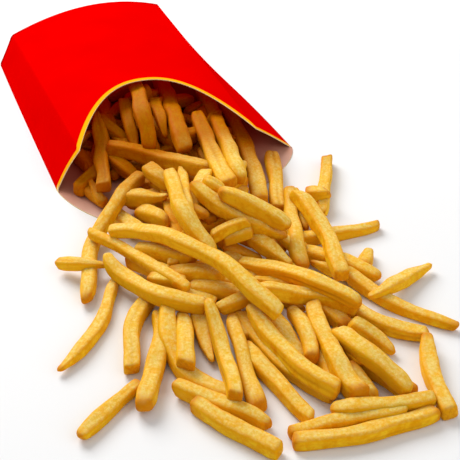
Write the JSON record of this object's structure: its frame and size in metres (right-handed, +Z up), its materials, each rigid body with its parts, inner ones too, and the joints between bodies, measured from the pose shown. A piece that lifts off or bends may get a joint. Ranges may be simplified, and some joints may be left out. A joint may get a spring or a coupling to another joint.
{
  "type": "french fries in a carton",
  "caption": "Paper carton of french fries lying on its back, with fries filling its mouth and spilled in an uneven heap in front of it.",
  "frame": {"origin": "on the surface that the carton lies on, in the middle of the carton's mouth", "axes": "+Y from the mouth of the carton to its base, +X to the right seen from the heap, +Z up from the surface"},
  "size_m": [0.1813, 0.3622, 0.033],
  "materials": {
    "red_paperboard": "smooth printed paperboard, red outside and white inside",
    "fried_potato": "crisp fried potato, golden with browner edges and ends"
  },
  "bodies": {
    "root": {"carton": "red_paperboard", "fries": "fried_potato"}
  },
  "joints": []
}
